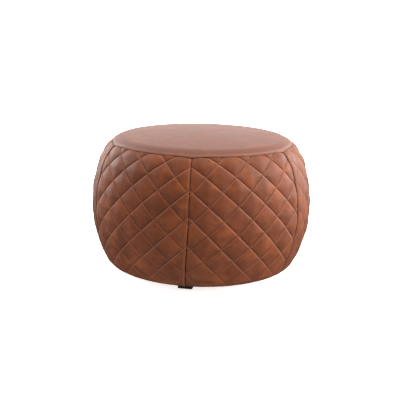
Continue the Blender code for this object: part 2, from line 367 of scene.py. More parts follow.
class Nodes:
    """Short names for building one material's nodes."""

    def __init__(self, name):
        self.material = bpy.data.materials.new(name)
        self.material.use_nodes = True
        self.tree = self.material.node_tree
        self.shader = self.tree.nodes["Principled BSDF"]
        self.place = self.node("ShaderNodeTexCoord").outputs["Object"]

    def node(self, kind, **values):
        made = self.tree.nodes.new(kind)
        for key, value in values.items():
            setattr(made, key, value)
        return made

    def link(self, value, socket):
        if hasattr(value, "is_output"):
            self.tree.links.new(value, socket)
        else:
            socket.default_value = value

    def attribute(self, name):
        return self.node("ShaderNodeAttribute", attribute_name=name).outputs["Fac"]

    def stretched(self, scale):
        made = self.node("ShaderNodeMapping")
        self.link(self.place, made.inputs["Vector"])
        made.inputs["Scale"].default_value = scale
        return made.outputs["Vector"]

    def noise(self, scale, detail=3.0, roughness=0.55, distortion=0.0, place=None):
        made = self.node("ShaderNodeTexNoise")
        self.link(place or self.place, made.inputs["Vector"])
        fixed = {"Scale": scale, "Detail": detail, "Roughness": roughness, "Distortion": distortion}
        for key, number in fixed.items():
            made.inputs[key].default_value = number
        return made.outputs["Fac"]

    def cells(self, scale, feature="F1", place=None):
        made = self.node("ShaderNodeTexVoronoi", feature=feature)
        self.link(place or self.place, made.inputs["Vector"])
        made.inputs["Scale"].default_value = scale
        return made.outputs["Distance"]

    def ramp(self, value, low, high, to_low=0.0, to_high=1.0):
        made = self.node("ShaderNodeMapRange", interpolation_type="SMOOTHSTEP")
        self.link(value, made.inputs["Value"])
        for key, number in (("From Min", low), ("From Max", high), ("To Min", to_low), ("To Max", to_high)):
            made.inputs[key].default_value = number
        return made.outputs["Result"]

    def combined(self, operation, value, number):
        made = self.node("ShaderNodeMath", operation=operation)
        self.link(value, made.inputs[0])
        self.link(number, made.inputs[1])
        return made.outputs[0]

    def times(self, value, number):
        return self.combined("MULTIPLY", value, number)

    def plus(self, value, number):
        return self.combined("ADD", value, number)

    def mix(self, factor, first, second):
        made = self.node("ShaderNodeMix", data_type="RGBA")
        self.link(factor, made.inputs["Factor"])
        self.link(first, made.inputs[6])
        self.link(second, made.inputs[7])
        return made.outputs[2]

    def bump(self, height, distance, strength=1.0, below=None):
        made = self.node("ShaderNodeBump")
        made.inputs["Strength"].default_value = strength
        made.inputs["Distance"].default_value = distance
        self.link(height, made.inputs["Height"])
        if below:
            self.link(below, made.inputs["Normal"])
        return made.outputs["Normal"]

    def finish(self, colour, roughness, normal, **fixed):
        self.link(colour, self.shader.inputs["Base Color"])
        self.link(roughness, self.shader.inputs["Roughness"])
        self.link(normal, self.shader.inputs["Normal"])
        for key, value in fixed.items():
            self.shader.inputs[SOCKETS[key]].default_value = value
        return self.material


def rgb(red, green, blue):
    """An sRGB colour of 0 to 255 as the linear colour that shaders take."""
    parts = [value / 255.0 for value in (red, green, blue)]
    linear = [p / 12.92 if p <= 0.04045 else ((p + 0.055) / 1.055) ** 2.4 for p in parts]
    return (*linear, 1.0)


def shade(colour, amount):
    return tuple(c * amount for c in colour[:3]) + (1.0,)


# ---- materials ----
TAN = rgb(88, 42, 18)


def leather(name, base, mottling, undulation, gloss, roughness):
    """Waxed tan leather: mottled aged colour and pebbled grain, with painted shade in and above the stitch
    lines and along the seams, and painted highlights below the lines and on folded edges.
    """
    n = Nodes(name)
    patches = n.ramp(n.noise(15.0, 4.0, 0.6, 0.5), 0.36, 0.66)
    rust = n.ramp(n.noise(22.0, 3.0, 0.55, 0.3, n.stretched((1.0, 1.0, 1.5))), 0.50, 0.70)
    scuffs = n.ramp(n.noise(34.0, 5.0, 0.65, 0.6), 0.46, 0.76)
    painted_shade = n.attribute("painted_shade")
    painted_highlight = n.attribute("painted_highlight")
    colour = n.mix(n.times(patches, mottling), base, shade(base, 0.76))
    colour = n.mix(n.times(rust, 0.5 * mottling), colour, rgb(108, 53, 20))
    colour = n.mix(n.times(scuffs, 0.2 * mottling), colour, rgb(104, 62, 44))
    # Painted shade: the stitch lines, the band above them and the seams are mixed toward dark brown.
    colour = n.mix(n.times(painted_shade, 0.62), colour, rgb(48, 20, 7))
    # Painted highlight: the band below each quilting line, the lapped seam's fold and the crest of the top's
    # rim are mixed toward a lighter brown.
    colour = n.mix(n.times(painted_highlight, 0.45), colour, rgb(132, 80, 58))
    grain = n.cells(560.0, "SMOOTH_F1")
    pores = n.noise(1500.0, 2.0)
    creases = n.ramp(n.cells(95.0, "DISTANCE_TO_EDGE", n.stretched((1.0, 1.0, 1.5))), 0.0, 0.05)
    colour = n.mix(n.times(n.ramp(grain, 0.35, 0.75), 0.14), colour, shade(base, 0.5))
    rough = n.ramp(patches, 0.0, 1.0, roughness + 0.03 * mottling, roughness - 0.03 * mottling)
    rough = n.plus(rough, n.times(painted_shade, 0.2))
    normal = n.bump(n.noise(65.0, 4.0, 0.6), 0.0012, undulation)
    normal = n.bump(creases, 0.0002, 0.20, normal)
    normal = n.bump(grain, 0.00022, 0.5, normal)
    normal = n.bump(pores, 0.0001, 0.4, normal)
    return n.finish(colour, rough, normal, specular=gloss)


def moulded(name, colour, roughness, metallic=0.0):
    """Moulded plastic or turned metal: a faint satin texture and small changes of gloss."""
    n = Nodes(name)
    tone = n.mix(n.ramp(n.noise(40.0, 4.0), 0.35, 0.65), shade(colour, 0.75), colour)
    rough = n.ramp(n.noise(90.0, 3.0), 0.3, 0.7, roughness - 0.07, roughness + 0.07)
    return n.finish(tone, rough, n.bump(n.noise(900.0, 3.0), 0.00008, 0.5), metallic=metallic)


def foam(name, colour):
    """Open-cell foam: small pits in a soft matt surface."""
    n = Nodes(name)
    pits = n.cells(430.0)
    # The pits are painted darker: painted shade in the pits.
    tone = n.mix(n.ramp(pits, 0.1, 0.5), shade(colour, 0.65), colour)
    tone = n.mix(n.times(n.noise(25.0), 0.2), tone, shade(colour, 0.8))
    return n.finish(tone, 0.95, n.bump(pits, 0.0006, 0.8))


def fibres(name, colour):
    """Loose polyester wadding: fine crossing fibres."""
    n = Nodes(name)
    strands = n.noise(500.0, 4.0, 0.7, 2.0)
    tone = n.mix(n.ramp(strands, 0.35, 0.6), shade(colour, 0.75), colour)
    return n.finish(tone, 1.0, n.bump(strands, 0.0008, 0.8), sheen=0.3)


def wood(name, pale, dark, stretch, scale=18.0):
    """Sawn wood or ply: long streaks of grain with fine pores."""
    n = Nodes(name)
    along = n.stretched(stretch)
    streaks = n.noise(scale, 5.0, 0.65, 1.4, along)
    pores = n.noise(scale * 9.0, 2.0, 0.5, 0.0, along)
    tone = n.mix(n.ramp(streaks, 0.38, 0.62), pale, dark)
    tone = n.mix(n.times(n.ramp(pores, 0.45, 0.65), 0.35), tone, shade(dark, 0.7))
    return n.finish(tone, n.ramp(streaks, 0.3, 0.7, 0.55, 0.72), n.bump(pores, 0.0003, 0.5))


def non_woven(name):
    """Black spun cloth, embossed with a close grid of small dots."""
    n = Nodes(name)
    dots = n.cells(400.0)
    threads = n.noise(900.0, 3.0, 0.7, 0.8)
    tone = n.mix(n.ramp(dots, 0.15, 0.4), rgb(20, 20, 21), rgb(46, 45, 45))
    tone = n.mix(n.times(n.ramp(threads, 0.45, 0.65), 0.5), tone, rgb(58, 57, 56))
    normal = n.bump(threads, 0.0002, 0.4, n.bump(dots, 0.0004, 0.7))
    return n.finish(tone, 0.9, normal, sheen=0.2)


def sewing_thread(name):
    """Twisted sewing thread, a little darker than the leather."""
    n = Nodes(name)
    twist = n.noise(1800.0, 2.0)
    tone = n.mix(n.ramp(twist, 0.35, 0.65), rgb(52, 22, 11), rgb(98, 48, 28))
    return n.finish(tone, 0.6, n.bump(twist, 0.0001, 0.6))


# ---- how the quilting swells ----
def quilt_coordinates(u, v):
    """Flat pattern coordinates as positions counted in quilting lines of each family."""
    return (v + u - QUILT_START) / QUILT_PITCH, (v - u - QUILT_START) / QUILT_PITCH


def pattern_place(a, b):
    """The flat pattern coordinates of a position counted in quilting lines."""
    return (a - b) * QUILT_PITCH / 2, QUILT_START + (a + b) * QUILT_PITCH / 2


def line_distance(a, b):
    """Distance on the leather to the nearest quilting line."""
    return np.minimum(np.abs(a - np.round(a)), np.abs(b - np.round(b))) * QUILT_SIDE


def pillow(a, b):
    """The even swelling of each diamond, 0 on the lines and 1 in the middle, steep beside the stitches."""
    return np.abs(np.sin(np.pi * a) * np.sin(np.pi * b)) ** PILLOW_POWER


class Swelling:
    """How full each diamond is, from flat sheets pinned along the stitches and blown up by Blender's Cloth."""

    def __init__(self):
        self.count = (LAST_CELL - FIRST_CELL) * CLOTH_CELLS + 1
        self.fullness = None
        self.simulate()

    def sheet(self):
        """The used points of the square lattice, its faces, and the points that the stitches hold."""
        index = np.arange(self.count**2).reshape(self.count, self.count)
        a, b = np.meshgrid(np.arange(self.count), np.arange(self.count), indexing="ij")
        cell_a = np.floor(FIRST_CELL + (a[:-1, :-1] + 0.5) / CLOTH_CELLS) + 0.5
        cell_b = np.floor(FIRST_CELL + (b[:-1, :-1] + 0.5) / CLOTH_CELLS) + 0.5
        u, v = pattern_place(cell_a, cell_b)
        wanted = (np.abs(u) < SHEET_HALF_WIDTH) & (v > SHEET_TOP) & (v < LINE.hem_start)
        corners = (index[:-1, :-1], index[1:, :-1], index[1:, 1:], index[:-1, 1:])
        faces = np.stack([c[wanted] for c in corners], -1)
        used = np.unique(faces)
        renumbered = np.full(self.count**2, -1)
        renumbered[used] = np.arange(len(used))
        held = (a.ravel()[used] % CLOTH_CELLS == 0) | (b.ravel()[used] % CLOTH_CELLS == 0)
        return used, renumbered[faces], held

    def simulate(self):
        used, faces, held = self.sheet()
        a = FIRST_CELL + (used // self.count) / CLOTH_CELLS
        b = FIRST_CELL + (used % self.count) / CLOTH_CELLS
        flat = columns(*pattern_place(a, b))
        verts = []
        for panel in range(PANELS):
            lift = (0.6 + 0.4 * value_noise(flat, 0.018, 11 + panel)) * 0.8 * MM
            verts.append(columns(flat[:, 0] + panel * SHEET_SPACING, flat[:, 1], np.where(held, 0.0, lift)))
        step = len(used)
        mesh = bpy.data.meshes.new("swelling")
        every_face = np.concatenate([faces + panel * step for panel in range(PANELS)])
        mesh.from_pydata(np.concatenate(verts).tolist(), [], every_face.tolist())
        sheet = bpy.data.objects.new("swelling", mesh)
        bpy.context.scene.collection.objects.link(sheet)
        group = sheet.vertex_groups.new(name="stitched")
        group.add(np.nonzero(np.tile(held, PANELS))[0].tolist(), 1.0, "REPLACE")
        settings = sheet.modifiers.new("cloth", "CLOTH").settings
        settings.vertex_group_mass = "stitched"
        settings.quality = 6
        settings.mass = 0.3
        settings.tension_stiffness = 20.0
        settings.compression_stiffness = 20.0
        settings.shear_stiffness = 15.0
        settings.bending_stiffness = 1.0
        settings.shrink_min = -0.014
        settings.use_pressure = True
        settings.uniform_pressure_force = 11.0
        settings.effector_weights.gravity = 0.0
        scene = bpy.context.scene
        for number in range(1, CLOTH_FRAMES + 1):
            scene.frame_set(number)
        evaluated = sheet.evaluated_get(bpy.context.evaluated_depsgraph_get())
        heights = np.array([v.co.z for v in evaluated.data.vertices])
        scene.frame_set(1)
        bpy.data.objects.remove(sheet, do_unlink=True)
        even = pillow(a, b)
        self.fullness = []
        for panel in range(PANELS):
            part = np.clip(heights[panel * step:(panel + 1) * step], 0.0, 9.0 * MM)
            ratio = np.where(held, 0.0, part / np.maximum(even, 0.1))
            ratio = ratio / np.median(ratio[~held])
            self.fullness.append(self.filled(used, ratio, held))

    def filled(self, used, ratio, held):
        """The fullness as a grid, where a point on a line takes the mean of its neighbours."""
        total = np.zeros((self.count, self.count))
        weight = np.zeros((self.count, self.count))
        total.ravel()[used] = np.where(held, 0.0, ratio)
        weight.ravel()[used] = ~held
        shifts = [(i, j) for i in (-1, 0, 1) for j in (-1, 0, 1)]
        around = sum(np.roll(total, shift, (0, 1)) for shift in shifts)
        count = sum(np.roll(weight, shift, (0, 1)) for shift in shifts)
        mean = np.where(count > 0, around / np.maximum(count, 1.0), 1.0)
        for _ in range(SMOOTHING):
            mean = sum(np.roll(mean, shift, (0, 1)) for shift in shifts) / len(shifts)
        return np.clip(mean, *FULLNESS_RANGE)

    def at(self, panel, a, b):
        """The swelling, about 0 to 1, at positions counted in quilting lines."""
        if self.fullness is None:
            return pillow(a, b)
        x = np.clip((a - FIRST_CELL) * CLOTH_CELLS, 0.0, self.count - 1.001)
        y = np.clip((b - FIRST_CELL) * CLOTH_CELLS, 0.0, self.count - 1.001)
        i, j = x.astype(int), y.astype(int)
        p, q = x - i, y - j
        grid = self.fullness[panel]
        low = grid[i, j] * (1 - p) + grid[i + 1, j] * p
        high = grid[i, j + 1] * (1 - p) + grid[i + 1, j + 1] * p
        return pillow(a, b) * (low * (1 - q) + high * q)


# ---- the flat pattern of a side panel ----
def half_width(v):
    return LINE.at(v)[0][..., 0] * PANEL_ANGLE / 2 - SEAM_GAP / 2


def graded(count, first):
    """Positions from 0 to 1, close together at both ends."""
    half = np.linspace(0.0, 1.0, count // 2 + 1)
    half = (first * half + (1.0 - first) * half**1.6) / 2
    return np.concatenate([half, 1.0 - half[-2::-1]])


def pattern_points(steps, rows, inset, end, row_step):
    """Points of the pattern: rows along its edges, then a lattice that is finer beside the quilting lines."""
    along = np.append(np.arange(inset, end, row_step), end)
    points = []
    for row in rows:
        kept = along[along >= inset + row - 1e-9]
        width = half_width(kept) - inset - row
        points += [columns(-width, kept), columns(width, kept)]
        width = float(half_width(inset + row)) - inset - rows[-1]
        across = np.arange(-width, width, row_step)
        points.append(columns(across, inset + row))
    width = float(half_width(end)) - inset - rows[-1]
    points.append(columns(np.arange(-width, width, row_step), end))
    whole = (np.arange(FIRST_CELL, LAST_CELL)[:, None] + graded(steps, 0.12)[None, :-1]).ravel()
    a, b = (g.ravel() for g in np.meshgrid(whole, whole, indexing="ij"))
    u, v = pattern_place(a, b)
    on_line = (np.abs(a - np.round(a)) < 1e-6) | (np.abs(b - np.round(b)) < 1e-6)
    room = np.minimum(half_width(v) - np.abs(u), v) - inset
    kept = (room > np.where(on_line, 0.25 * MM, rows[-1] + row_step / 2)) & (v < end - 0.8 * row_step)
    points.append(columns(u, v)[kept])
    return np.unique(np.round(np.concatenate(points), 7), axis=0)


def pattern_edges(flat, inset, end):
    """The edges that the triangles must keep: the quilting lines and the outline."""
    u, v = flat[:, 0], flat[:, 1]
    a, b = quilt_coordinates(u, v)
    side = half_width(v) - inset
    chains = [(np.abs(a - n) < 1e-4, b) for n in range(FIRST_CELL, LAST_CELL)]
    chains += [(np.abs(b - n) < 1e-4, a) for n in range(FIRST_CELL, LAST_CELL)]
    chains += [(np.abs(u - side) < 1e-6, v), (np.abs(u + side) < 1e-6, v)]
    chains += [(np.abs(v - inset) < 1e-6, u), (np.abs(v - end) < 1e-6, u)]
    edges = []
    for member, order in chains:
        chain = np.nonzero(member)[0]
        chain = chain[np.argsort(order[chain])].tolist()
        edges += list(zip(chain[:-1], chain[1:]))
    return edges


def flat_pattern(steps, rows, inset, end, row_step):
    flat = pattern_points(steps, rows, inset, end, row_step)
    edges = pattern_edges(flat, inset, end)
    made = geometry.delaunay_2d_cdt([Vector(p) for p in flat], edges, [], 1, 1e-7)
    return np.array([tuple(p) for p in made[0]]), [tuple(f) for f in made[2]]


# ---- the relief of the cover ----
def seam_dip(angle):
    """How far the top seam is pulled down beside each vertical seam."""
    turns = (np.asarray(angle)[..., None] - SEAM_ANGLES + math.pi) % math.tau - math.pi
    return SEAM_DIP * bell(np.abs(turns).min(axis=-1), math.radians(5.0))


def rounded(edge, radius, depth):
    """The drop of a folded edge: nothing further in than the radius, all of the depth at the edge."""
    t = np.clip(1.0 - edge / radius, 0.0, 1.0)
    return depth * (1.0 - np.sqrt(1.0 - t * t))


class Relief:
    """Where each point of a panel's outer face is, and what the material has to know about it."""

    def __init__(self, panel, u, v, swelling):
        a, b = quilt_coordinates(u, v)
        flat = columns(u, v)
        edge = half_width(v) - np.abs(u)
        distance = line_distance(a, b)
        sewn = 1.0 - smooth(*SEWN_TO, v)
        tight = (1.0 - smooth(*SLACK_TO, v)) * 0.75 + 0.25
        smooth_side = SMOOTH_SIDES.get(panel, 0)
        if smooth_side:
            tight = tight * (0.3 + 0.7 * smooth(*SMOOTH_WIDTH, smooth_side * u + half_width(v)))
        lumps = 1.0 + 0.16 * value_noise(flat, 0.05, 31 + panel)
        by_seam = 0.45 + 0.55 * smooth(0.0, 22 * MM, edge)
        puff = PUFF * swelling.at(panel, a, b) * lumps * by_seam
        ticks = value_noise(columns(a, b) * STITCHES_PER_CELL, 1.0, 57 + panel)
        pucker = 0.14 * MM * ticks * bell(distance, 6 * MM) * smooth(0.2 * MM, 2.5 * MM, distance)
        groove = LINE_DEPTH * bell(distance, LINE_WIDTH)
        fold = bell(edge - 4.2 * MM, 2.2 * MM) * (u > 0)
        wander = value_noise(columns(v, v * 0.0), 0.02, 91 + panel) * np.exp(-edge / (6 * MM))
        height = sewn * (tight * (puff - 0.55 * PUFF - groove) + pucker)
        height += 0.15 * MM * layered_noise(flat, 0.03, 71 + panel)
        height += 0.5 * MM * fold + 0.6 * MM * wander
        beside_smooth = (smooth_side * u < 0) & (smooth_side != 0)
        rounding = np.where(beside_smooth, SEAM_ROUNDING, LAPPED_ROUNDING)
        height -= np.maximum(rounded(edge, rounding, SEAM_DEPTH), rounded(v, SEAM_ROUNDING, TOP_SEAM_DEPTH))
        self.height = height * (1.0 - smooth(LINE.hem_start - 12 * MM, LINE.hem_start, v))
        share = 0.5 + u / (LINE.at(v)[0][..., 0] * PANEL_ANGLE)
        self.angle = SEAM_ANGLES[panel] + PANEL_SPANS[panel] * share
        self.s = v + seam_dip(self.angle) * np.exp(-v / (30 * MM))
        # Painted light: the families swap between the right and left halves, so the lines that run down and
        # away from the front seam get the stronger painted shade and highlight, as each half is lit from its
        # own side.
        dark, highlight_below_lines = self.line_shade_and_highlight((b, a) if panel < PANELS / 2 else (a, b))
        line = sewn * tight * dark
        seam = bell(edge, np.where(beside_smooth, 6.0 * MM, 1.4 * MM))
        # Painted shade mask: the quilting lines and the band above them, a painted shadow along each seam
        # (wider beside a smooth panel, where the lapped edge casts it), and a dark line under the top seam.
        self.painted_shade = np.maximum.reduce([line, seam, 0.7 * bell(v, 1.5 * MM)])
        # Painted highlight mask: the pale band under the quilting lines and a lighter line on the lapped seam's
        # fold.
        self.painted_highlight = np.maximum(highlight_below_lines * sewn * tight, 0.4 * fold)

    @staticmethod
    def line_shade_and_highlight(families):
        """Painted shade in the lines and above them, and a painted highlight on the edge below each line; the
        first family gets the stronger marks.
        """
        dark = []
        pale = []
        for counted, strength in zip(families, (1.0, 0.65)):
            below = (counted - np.round(counted)) * QUILT_SIDE
            above = np.exp(-np.maximum(-below, 0.0) / (7 * MM)) * (below < 0)
            dark += [strength * bell(below, 1.3 * MM), 0.62 * strength * above]
            pale.append(strength * bell(below - 2.4 * MM, 1.5 * MM))
        return np.maximum.reduce(dark), np.maximum.reduce(pale)

    def points(self, raised=0.0):
        return placed(self.s, self.angle, self.height + raised)


def turned_in(verts, faces, relief, keep):
    """The face with its sewn edges turned in: a strip that drops by the seam allowance."""
    edges = {pair for face in faces for pair in zip(face, face[1:] + face[:1])}
    rim = [(p, q) for p, q in edges if (q, p) not in edges and keep[p] and keep[q]]
    used = sorted({p for pair in rim for p in pair})
    below = {p: len(verts) + n for n, p in enumerate(used)}
    dropped = placed(relief.s[used], relief.angle[used], relief.height[used] - ALLOWANCE)
    strip = [(q, p, below[p], below[q]) for p, q in rim]
    return np.vstack([verts, dropped]), list(faces) + strip, used


def side_covers(swelling, look):
    flat, faces = flat_pattern(24, EDGE_ROWS, 0.0, LINE.end, 2.6 * MM)
    u, v = flat[:, 0], flat[:, 1]
    for panel in range(PANELS):
        relief = Relief(panel, u, v, swelling)
        verts, every_face, used = turned_in(relief.points(), faces, relief, v < LINE.hem_start)
        name = f"cover_side_{panel + 1}"
        item = new_piece(name, verts, every_face, look, [f"side_panel_{panel + 1}"])
        # The turned-in strip is painted fully dark: painted shade inside the seam.
        store(item, "painted_shade", np.append(relief.painted_shade, np.ones(len(used))))
        store(item, "painted_highlight", np.append(relief.painted_highlight, np.zeros(len(used))))
        thicken(item, LEATHER_THICKNESS)


def quilted_pads(swelling, look):
    """The thin foam sewn behind each panel: it follows the leather's back and is squeezed at the lines."""
    end = LINE.hem_start - 4 * MM
    flat, faces = flat_pattern(10, np.array([0.0, 3.0]) * MM, PAD_INSET, end, 6 * MM)
    for panel in range(PANELS):
        relief = Relief(panel, flat[:, 0], flat[:, 1], swelling)
        outer = relief.points(-LEATHER_THICKNESS - 1.0 * MM)
        inner = placed(relief.s, relief.angle, np.full(len(flat), -PAD_BACK))
        verts, every_face = closed_between(outer, inner, faces)
        name = f"padding_side_{panel + 1}"
        item = new_piece(name, verts, every_face, look, [f"quilt_pad_{panel + 1}"])


def quilting_stitches(swelling, look):
    """Every stitch of the quilting lines as a short piece of thread that lies in its groove."""
    count = (LAST_CELL - FIRST_CELL) * STITCHES_PER_CELL
    middle = FIRST_CELL + (np.arange(count) + 0.5) / STITCHES_PER_CELL
    half = 0.38 / STITCHES_PER_CELL
    lines = np.arange(FIRST_CELL, LAST_CELL)
    whole, place = (g.ravel() for g in np.meshgrid(lines, middle, indexing="ij"))
    first = np.concatenate([columns(whole, place - half), columns(place - half, whole)])
    last = np.concatenate([columns(whole, place + half), columns(place + half, whole)])
    u, v = pattern_place(*((first + last) / 2).T)
    kept = (half_width(v) - np.abs(u) > 3.5 * MM) & (v > 3.0 * MM) & (v < SEWN_TO[1] - 8 * MM)
    first, last = first[kept], last[kept]
    rings = ((0.0, 0.45, 0.10), (0.12, 0.85, 0.22), (0.5, 1.0, 0.34), (0.88, 0.85, 0.22), (1.0, 0.45, 0.10))
    sides = 5
    for panel in range(PANELS):
        relief = Relief(panel, *pattern_place(*first.T), swelling)
        start = relief.points()
        finish = Relief(panel, *pattern_place(*last.T), swelling).points()
        outer = relief.points(1.0 * MM) - start
        outer /= np.linalg.norm(outer, axis=1, keepdims=True)
        along = finish - start
        across = np.cross(along, outer)
        across /= np.linalg.norm(across, axis=1, keepdims=True)
        verts = []
        for part, thick, lift in rings:
            centre = start + along * part + outer * (lift * MM)
            for side in range(sides):
                turn = math.tau * side / sides
                reach = THREAD_RADIUS * thick
                verts.append(centre + across * (math.cos(turn) * reach) + outer * (math.sin(turn) * reach))
        verts = np.stack(verts, 1).reshape(-1, 3)
        size = len(rings) * sides
        faces = []
        for ring in range(len(rings) - 1):
            low = ring * sides
            faces += [(low + k, low + (k + 1) % sides, low + sides + (k + 1) % sides, low + sides + k)
                      for k in range(sides)]
        caps = [tuple(range(sides))[::-1], tuple(range(size - sides, size))]
        every = [tuple(size * n + p for p in face) for n in range(len(first)) for face in faces + caps]
        new_piece(f"stitches_{panel + 1}", verts, every, look)


# ---- the top ----
def top_cover(look):
    """The plain crowned top: a disc of leather that rolls over the rim into the seam."""
    around = 400
    near = np.array([0.0, 0.4, 1.0, 1.9, 3.0, 4.4, 6.2, 8.4]) * MM
    inward = np.concatenate([near, np.linspace(11 * MM, LINE.seam - 2 * MM, 72)])
    turn = np.linspace(0.0, math.tau, around, endpoint=False)
    inset, angle = np.meshgrid(inward, turn, indexing="ij")
    ring = columns(np.cos(angle), np.sin(angle))
    flat = ring * (LINE.seam - inset)[..., None]
    ticks = value_noise(ring, 0.022, 5) * smooth(-0.2, 0.5, value_noise(ring, 0.3, 8))
    height = 0.4 * MM * ticks * np.exp(-inset / (7 * MM)) * smooth(0.0, 3 * MM, inset)
    height += 0.3 * MM * bell(inset - 7 * MM, 6 * MM)
    height += 0.25 * MM * layered_noise(flat, 0.09, 3) * smooth(0.0, 0.05, inset)
    height += 0.05 * MM * layered_noise(flat * np.array([0.45, 1.6]), 0.012, 17)
    height -= rounded(inset, 5.0 * MM, 1.8 * MM) + 0.6 * MM
    dip = seam_dip(angle)
    s = -inset + dip * np.exp(-inset / (28 * MM))
    points = placed(s, angle, height)
    rolled_in = placed(s[0], angle[0], height[0] - ALLOWANCE)
    middle = placed(-LINE.seam, 0.0, -0.6 * MM)
    verts = np.vstack([rolled_in, points.reshape(-1, 3), middle])
    item = new_piece("cover_top", verts, disc_faces(len(verts), around), look, ["top_panel"])
    # Painted shade: the rolled-in ring is fully dark and a dark line runs along the top seam.
    painted_shade = np.concatenate([np.ones(around), 0.7 * bell(inset, 1.4 * MM).ravel(), [0.0]])
    # Painted highlight: a pale band on the crest of the rolled rim.
    painted_highlight = np.concatenate([np.zeros(around), 0.5 * bell(inset - 6 * MM, 3 * MM).ravel(), [0.0]])
    store(item, "painted_shade", painted_shade)
    store(item, "painted_highlight", painted_highlight)
    thicken(item, LEATHER_THICKNESS)


# ---- padding and the wooden drum ----
def padding_layers(foam_look, seat_look, wadding_look):
    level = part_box("side_foam")[1].z
    split = LINE.length_at_height(FOAM_DEPTH, level)
    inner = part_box("base_board")[1].x + SEAM_GAP
    outline = LINE.layer(FOAM_DEPTH, split, LINE.hem_start)
    outline += [(inner, outline[-1][1]), (inner, level)]
    lathe("side_foam_ring", outline, foam_look, ["side_foam"])
    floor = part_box("seat_foam")[0].z
    outline = [(0.0, floor)] + LINE.layer(FOAM_DEPTH, split, -LINE.seam, 90)
    outline[1] = (outline[1][0], floor)
    outline[-1] = (0.0, outline[-1][1])
    lathe("seat_foam_block", outline, seat_look, ["seat_foam"])
    top = LINE.layer(3.4 * MM, -LINE.seam, -ALLOWANCE)
    below = LINE.layer(PAD_BACK, -ALLOWANCE, -LINE.seam)
    top[0] = (0.0, top[0][1])
    below[-1] = (0.0, below[-1][1])
    lathe("wadding_layer", top + below, wadding_look, ["seat_wadding"])


def eased_disc(node, look, ease):
    """A round board in a CAD node's box, with its sharp edges eased."""
    low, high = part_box(node)
    radius = high.x
    outline = [(0.0, low.z), (radius - ease, low.z), (radius, low.z + ease)]
    outline += [(radius, high.z - ease), (radius - ease, high.z), (0.0, high.z)]
    lathe(f"{node}_round", outline, look, [node])


def drum(ply, board, timber):
    eased_disc("base_board", ply, 0.8 * MM)
    eased_disc("seat_board", ply, 0.8 * MM)
    low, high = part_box("drum_wall")
    wall = [(high.x - 3.0 * MM, low.z), (high.x, low.z), (high.x, high.z), (high.x - 3.0 * MM, high.z)]
    lathe("drum_wall_round", wall, board, ["drum_wall"])
    for number in range(1, PANELS + 1):
        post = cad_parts[f"post_{number}"]
        for slot in post.material_slots:
            slot.material = timber


# ---- screws, glides and the underside ----
def screw(node, head_radius, shank_radius, steel):
    """A countersunk wood screw in a CAD node's place: cross recess, plain neck, ridged thread and a point."""
    low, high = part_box(node)
    upwards = node.startswith(("glide", "post_screw_lower"))
    middle = (low + high) / 2
    head_z = low.z if upwards else high.z
    length = high.z - low.z
    side = 1.0 if upwards else -1.0
    rows = [(0.0, 0.9 * MM), (0.35 * head_radius, 0.9 * MM), (0.5 * head_radius, 0.05 * MM)]
    rows += [(0.93 * head_radius, 0.0), (head_radius, 0.12 * MM), (0.95 * head_radius, 0.45 * MM)]
    rows += [(0.8 * shank_radius, 2.6 * MM), (0.8 * shank_radius, 6.0 * MM)]
    depth = 6.4 * MM
    while depth < length - 5.0 * MM:
        rows += [(0.72 * shank_radius, depth), (shank_radius, depth + 0.5 * MM)]
        rows += [(0.72 * shank_radius, depth + 1.0 * MM)]
        depth += 1.3 * MM
    rows += [(0.7 * shank_radius, length - 4.8 * MM), (0.0, length)]
    outline = [(radius, head_z + side * down) for radius, down in rows]
    made = lathe(f"{node}_turned", outline, steel, [node], 24, 40.0)
    made.data.transform(Matrix.Translation((middle.x, middle.y, 0.0)))
    for vert in made.data.vertices:
        across = Vector((vert.co.x - middle.x, vert.co.y - middle.y))
        if abs(vert.co.z - head_z) < 0.06 * MM and across.length < 0.6 * head_radius:
            arm = abs(math.sin(2.0 * math.atan2(across.y, across.x)))
            vert.co.z += side * 0.8 * MM * (arm < 0.35)


def glide(number, plastic):
    """A moulded square glide: eased corners and edges, and a stepped well for its screw."""
    low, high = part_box(f"glide_{number}")
    middle = (low + high) / 2
    top = high.z
    corner = np.radians(np.linspace(0.0, 90.0, 9))
    rings = [(GLIDE_HALF - 0.9 * MM, 0.0, False), (GLIDE_HALF - 0.25 * MM, 0.3 * MM, False)]
    rings += [(GLIDE_HALF, 1.0 * MM, False), (GLIDE_HALF, top - 0.5 * MM, False)]
    rings += [(GLIDE_HALF - 0.5 * MM, top, False), (2.4 * MM, top, True), (2.4 * MM, 3.6 * MM, True)]
    rings += [(5.9 * MM, 3.6 * MM, True), (6.2 * MM, 3.3 * MM, True)]
    rings += [(6.2 * MM, 0.5 * MM, True), (6.7 * MM, 0.0, True)]
    verts = []
    for size, z, is_round in rings:
        for quarter in range(4):
            for turn in corner + quarter * math.pi / 2:
                centre = math.radians(45.0 + 90.0 * quarter)
                reach = (size - GLIDE_CORNER) * math.sqrt(2.0)
                x = reach * math.cos(centre) + GLIDE_CORNER * math.cos(turn)
                y = reach * math.sin(centre) + GLIDE_CORNER * math.sin(turn)
                if is_round:
                    length = math.hypot(x, y)
                    x, y = x * size / length, y * size / length
                verts.append((x, y, z))
    around = 4 * len(corner)
    index = np.arange(len(verts)).reshape(len(rings), around)
    following = np.roll(index, -1, axis=1)
    outer, outer_next = np.roll(index, -1, axis=0), np.roll(following, -1, axis=0)
    faces = np.stack([index, following, outer_next, outer], -1).reshape(-1, 4).tolist()
    made = new_piece(f"glide_{number}_moulded", verts, faces, plastic, [f"glide_{number}"])
    made.data.set_sharp_from_angle(angle=math.radians(35.0))
    turn = Matrix.Rotation(math.atan2(middle.y, middle.x), 4, "Z")
    made.data.transform(Matrix.Translation((middle.x, middle.y, 0.0)) @ turn)


